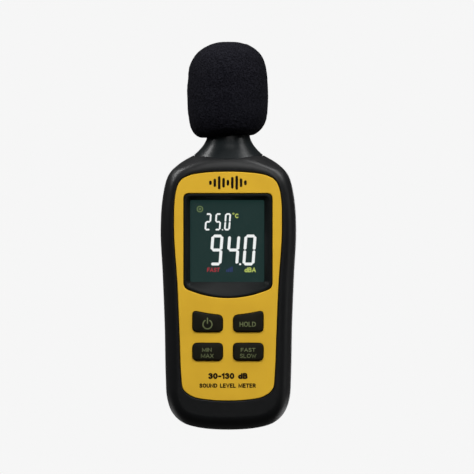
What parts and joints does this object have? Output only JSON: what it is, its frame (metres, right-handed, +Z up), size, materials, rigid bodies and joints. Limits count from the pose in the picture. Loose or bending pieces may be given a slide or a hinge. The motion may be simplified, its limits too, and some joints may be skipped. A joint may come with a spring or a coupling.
{
  "type": "sound level meter",
  "caption": "Hand-held sound level meter with a colour display, rubber keys, a foam-covered microphone on a flared neck, a tripod socket and a sliding battery cover.",
  "frame": {"origin": "centre of the tripod socket's mouth in the flat back of the casing", "axes": "+Z up the meter from its foot to the microphone, +Y out of the back, +X to the right as the user faces the display, which looks along -Y"},
  "size_m": [0.0558, 0.0343, 0.16],
  "materials": {
    "casing_plastic": "satin",
    "panel_plastic": "satin",
    "bezel_plastic": "satin",
    "clear_lens": "gloss",
    "lcd_glass": "satin",
    "diffuser": "satin",
    "white_plastic": "satin",
    "zebra_rubber": "matte",
    "key_rubber": "matte",
    "carbon": "matte",
    "circuit_board": "satin",
    "chip_plastic": "matte",
    "steel": "satin",
    "black_metal": "satin",
    "neck_plastic": "satin",
    "foam": "matte",
    "cell_jacket": "satin",
    "red_lead": "satin",
    "black_lead": "satin",
    "brass": "satin"
  },
  "bodies": {
    "casing": {"front_casing": "casing_plastic", "rear_casing": "casing_plastic", "front_panel": "panel_plastic", "display_bezel": "bezel_plastic", "display_lens": "clear_lens", "lcd_glass": "lcd_glass", "backlight": "diffuser", "backlight_led": "diffuser", "lcd_frame": "white_plastic", "zebra_strip": "zebra_rubber", "keypad_mat": "key_rubber", "main_board": "circuit_board", "processor_chip": "chip_plastic", "amplifier_chip": "chip_plastic", "crystal": "steel", "thermistor": "chip_plastic", "neck_collar": "neck_plastic", "mic_tube": "black_metal", "mic_grid": "black_metal", "mic_capsule": "steel", "mic_grommet": "key_rubber", "mic_lead": "black_lead", "battery_lead_red": "red_lead", "battery_lead_black": "black_lead", "tripod_insert": "brass", "board_screw_1": "steel", "case_screw_1": "black_metal", "board_screw_2": "steel", "case_screw_2": "black_metal", "board_screw_3": "steel", "case_screw_3": "black_metal", "board_screw_4": "steel", "case_screw_4": "black_metal", "battery_1": "cell_jacket", "battery_spring_1": "steel", "battery_2": "cell_jacket", "battery_spring_2": "steel", "battery_3": "cell_jacket", "battery_spring_3": "steel", "contact_positive": "steel", "contact_negative": "steel", "contact_lower_pair": "steel", "contact_upper_pair": "steel"},
    "windscreen": {"windscreen": "foam"},
    "battery_cover": {"battery_cover": "casing_plastic"},
    "power_key": {"key_power": "key_rubber", "contact_pill_power": "carbon"},
    "hold_key": {"key_hold": "key_rubber", "contact_pill_hold": "carbon"},
    "min_max_key": {"key_min_max": "key_rubber", "contact_pill_min_max": "carbon"},
    "fast_slow_key": {"key_fast_slow": "key_rubber", "contact_pill_fast_slow": "carbon"}
  },
  "joints": [
    {"name": "windscreen_pull", "type": "slide", "parent": "casing", "child": "windscreen", "axis": [0, 0, 1], "range_m": [0, 0.04]},
    {"name": "battery_cover_slide", "type": "slide", "parent": "casing", "child": "battery_cover", "axis": [0, 0, -1], "range_m": [0, 0.064]},
    {"name": "power_key_press", "type": "slide", "parent": "casing", "child": "power_key", "axis": [0, 1, 0], "range_m": [0, 0.001], "stiffness_N_per_m": 300},
    {"name": "hold_key_press", "type": "slide", "parent": "casing", "child": "hold_key", "axis": [0, 1, 0], "range_m": [0, 0.001], "stiffness_N_per_m": 300},
    {"name": "min_max_key_press", "type": "slide", "parent": "casing", "child": "min_max_key", "axis": [0, 1, 0], "range_m": [0, 0.001], "stiffness_N_per_m": 300},
    {"name": "fast_slow_key_press", "type": "slide", "parent": "casing", "child": "fast_slow_key", "axis": [0, 1, 0], "range_m": [0, 0.001], "stiffness_N_per_m": 300}
  ]
}
